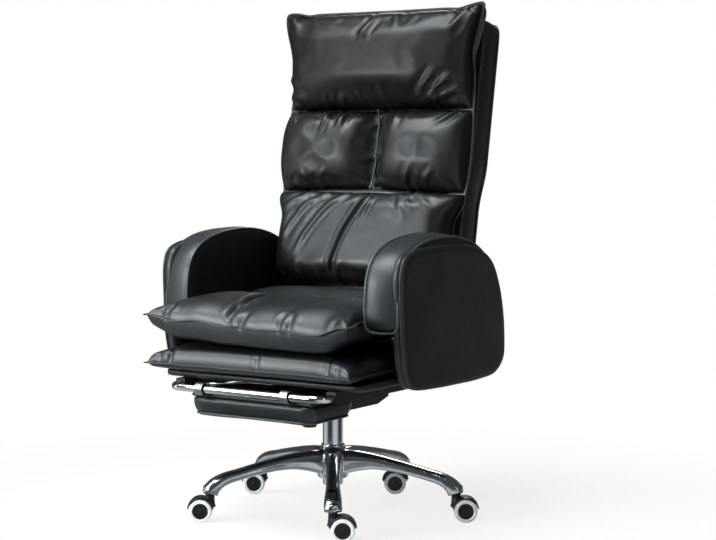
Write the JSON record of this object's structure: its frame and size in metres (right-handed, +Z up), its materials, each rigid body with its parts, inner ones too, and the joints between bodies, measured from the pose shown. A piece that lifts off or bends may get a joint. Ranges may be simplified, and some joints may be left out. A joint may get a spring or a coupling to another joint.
{
  "type": "reclining office chair",
  "caption": "High-backed cushioned office chair with padded arms, a reclining back, a pull-out flip-over footrest and a gas lift on a five-leg castor base.",
  "frame": {"origin": "on the floor under the gas lift's axis", "axes": "+Z up; the sitter faces -Y and the sitter's right is -X"},
  "size_m": [0.7037, 0.7432, 1.2379],
  "materials": {
    "black_leather": "satin",
    "black_plastic": "satin",
    "chrome": "polished",
    "polished_aluminium": "polished",
    "zinc_steel": "satin",
    "black_steel": "satin",
    "plywood": "matte"
  },
  "bodies": {
    "base": {"star_base": "polished_aluminium", "gas_column": "chrome", "column_bush": "black_plastic", "thrust_bearing": "zinc_steel"},
    "castor_1": {"castor_1_stem": "zinc_steel", "castor_1_hood": "black_plastic"},
    "castor_1_left": {"castor_1_wheel_left": "black_plastic"},
    "castor_1_right": {"castor_1_wheel_right": "black_plastic"},
    "castor_2": {"castor_2_stem": "zinc_steel", "castor_2_hood": "black_plastic"},
    "castor_2_left": {"castor_2_wheel_left": "black_plastic"},
    "castor_2_right": {"castor_2_wheel_right": "black_plastic"},
    "castor_3": {"castor_3_stem": "zinc_steel", "castor_3_hood": "black_plastic"},
    "castor_3_left": {"castor_3_wheel_left": "black_plastic"},
    "castor_3_right": {"castor_3_wheel_right": "black_plastic"},
    "castor_4": {"castor_4_stem": "zinc_steel", "castor_4_hood": "black_plastic"},
    "castor_4_left": {"castor_4_wheel_left": "black_plastic"},
    "castor_4_right": {"castor_4_wheel_right": "black_plastic"},
    "castor_5": {"castor_5_stem": "zinc_steel", "castor_5_hood": "black_plastic"},
    "castor_5_left": {"castor_5_wheel_left": "black_plastic"},
    "castor_5_right": {"castor_5_wheel_right": "black_plastic"},
    "piston": {"piston_rod": "zinc_steel", "rod_clip": "zinc_steel"},
    "mechanism": {"gas_cylinder": "zinc_steel", "tilt_housing": "black_steel", "tilt_shaft": "zinc_steel", "tilt_spring": "zinc_steel"},
    "button": {"release_button": "zinc_steel"},
    "lift_lever": {"lift_lever": "chrome"},
    "knob": {"tension_knob": "black_plastic"},
    "seat": {"seat_board": "plywood", "seat_plate": "black_steel", "rail_left": "black_steel", "rail_right": "black_steel", "arm_bracket_left": "black_steel", "arm_bracket_right": "black_steel", "hinge_bracket_left": "zinc_steel", "hinge_bracket_right": "zinc_steel", "lower_seat_cushion": "black_leather", "upper_seat_cushion": "black_leather", "arm_left": "black_leather", "arm_right": "black_leather"},
    "recline_lever": {"recline_shaft": "zinc_steel", "recline_grip": "black_plastic"},
    "back": {"back_shell": "black_leather", "lumbar_cushion": "black_leather", "shoulder_cushion": "black_leather", "head_cushion": "black_leather", "back_hinge_left": "zinc_steel", "back_hinge_right": "zinc_steel"},
    "footrest_frame": {"footrest_frame": "chrome"},
    "footrest_pad": {"footrest_board": "plywood", "footrest_cushion": "black_leather", "footrest_strap_left": "zinc_steel", "footrest_strap_right": "zinc_steel"}
  },
  "joints": [
    {"name": "castor_1_swivel", "type": "hinge", "parent": "base", "child": "castor_1", "pos_m": [0.17335, -0.257, 0.0665], "axis": [0, 0, 1], "continuous": true},
    {"name": "castor_1_left_roll", "type": "hinge", "parent": "castor_1", "child": "castor_1_left", "pos_m": [0.19159, -0.2447, 0.02746], "axis": [-0.5592, 0.829, 0], "continuous": true},
    {"name": "castor_1_right_roll", "type": "hinge", "parent": "castor_1", "child": "castor_1_right", "pos_m": [0.19159, -0.2447, 0.02746], "axis": [-0.5592, 0.829, 0], "continuous": true},
    {"name": "castor_2_swivel", "type": "hinge", "parent": "base", "child": "castor_2", "pos_m": [0.29799, 0.08545, 0.0665], "axis": [0, 0, 1], "continuous": true},
    {"name": "castor_2_left_roll", "type": "hinge", "parent": "castor_2", "child": "castor_2_left", "pos_m": [0.31623, 0.09775, 0.02746], "axis": [-0.5592, 0.829, 0], "continuous": true},
    {"name": "castor_2_right_roll", "type": "hinge", "parent": "castor_2", "child": "castor_2_right", "pos_m": [0.31623, 0.09775, 0.02746], "axis": [-0.5592, 0.829, 0], "continuous": true},
    {"name": "castor_3_swivel", "type": "hinge", "parent": "base", "child": "castor_3", "pos_m": [0.01082, 0.30981, 0.0665], "axis": [0, 0, 1], "continuous": true},
    {"name": "castor_3_left_roll", "type": "hinge", "parent": "castor_3", "child": "castor_3_left", "pos_m": [-0.00742, 0.29751, 0.02746], "axis": [0.5592, -0.829, 0], "continuous": true},
    {"name": "castor_3_right_roll", "type": "hinge", "parent": "castor_3", "child": "castor_3_right", "pos_m": [-0.00742, 0.29751, 0.02746], "axis": [0.5592, -0.829, 0], "continuous": true},
    {"name": "castor_4_swivel", "type": "hinge", "parent": "base", "child": "castor_4", "pos_m": [-0.2913, 0.10603, 0.0665], "axis": [0, 0, 1], "continuous": true},
    {"name": "castor_4_left_roll", "type": "hinge", "parent": "castor_4", "child": "castor_4_left", "pos_m": [-0.30954, 0.09372, 0.02746], "axis": [0.5592, -0.829, 0], "continuous": true},
    {"name": "castor_4_right_roll", "type": "hinge", "parent": "castor_4", "child": "castor_4_right", "pos_m": [-0.30954, 0.09372, 0.02746], "axis": [0.5592, -0.829, 0], "continuous": true},
    {"name": "castor_5_swivel", "type": "hinge", "parent": "base", "child": "castor_5", "pos_m": [-0.19085, -0.24428, 0.0665], "axis": [0, 0, 1], "continuous": true},
    {"name": "castor_5_left_roll", "type": "hinge", "parent": "castor_5", "child": "castor_5_left", "pos_m": [-0.20909, -0.25659, 0.02746], "axis": [0.5592, -0.829, 0], "continuous": true},
    {"name": "castor_5_right_roll", "type": "hinge", "parent": "castor_5", "child": "castor_5_right", "pos_m": [-0.20909, -0.25659, 0.02746], "axis": [0.5592, -0.829, 0], "continuous": true},
    {"name": "seat_swivel", "type": "hinge", "parent": "base", "child": "piston", "pos_m": [0, 0, 0.0806], "axis": [0, 0, 1], "continuous": true},
    {"name": "height_lift", "type": "slide", "parent": "piston", "child": "mechanism", "axis": [0, 0, 1], "range_m": [0, 0.1]},
    {"name": "button_press", "type": "slide", "parent": "mechanism", "child": "button", "axis": [0, 0, -1], "range_m": [0, 0.0045]},
    {"name": "lift_lever_raise", "type": "hinge", "parent": "mechanism", "child": "lift_lever", "pos_m": [-0.08, 0, 0.3008], "axis": [0, 1, 0], "range_deg": [0, 3]},
    {"name": "tension_turn", "type": "hinge", "parent": "mechanism", "child": "knob", "pos_m": [0, -0.1, 0.268], "axis": [0, 0, 1], "continuous": true},
    {"name": "seat_tilt", "type": "hinge", "parent": "mechanism", "child": "seat", "pos_m": [0, -0.07, 0.315], "axis": [-1, 0, 0], "range_deg": [0, 12], "stiffness_Nm_per_rad": 150, "springref_deg": -34.38},
    {"name": "recline_release", "type": "hinge", "parent": "seat", "child": "recline_lever", "pos_m": [0, 0.185, 0.405], "axis": [1, 0, 0], "range_deg": [0, 20], "stiffness_Nm_per_rad": 1, "springref_deg": -17.19},
    {"name": "back_recline", "type": "hinge", "parent": "seat", "child": "back", "pos_m": [0, 0.185, 0.405], "axis": [-1, 0, 0], "range_deg": [0, 50]},
    {"name": "footrest_pull", "type": "slide", "parent": "seat", "child": "footrest_frame", "axis": [0, -1, 0], "range_m": [0, 0.28]},
    {"name": "footrest_flip", "type": "hinge", "parent": "footrest_frame", "child": "footrest_pad", "pos_m": [0, -0.365, 0.33835], "axis": [-1, 0, 0], "range_deg": [0, 180]}
  ],
  "couplings": [
    {"joint": "button_press", "follows": "lift_lever_raise", "m_per_rad": 0.08}
  ]
}
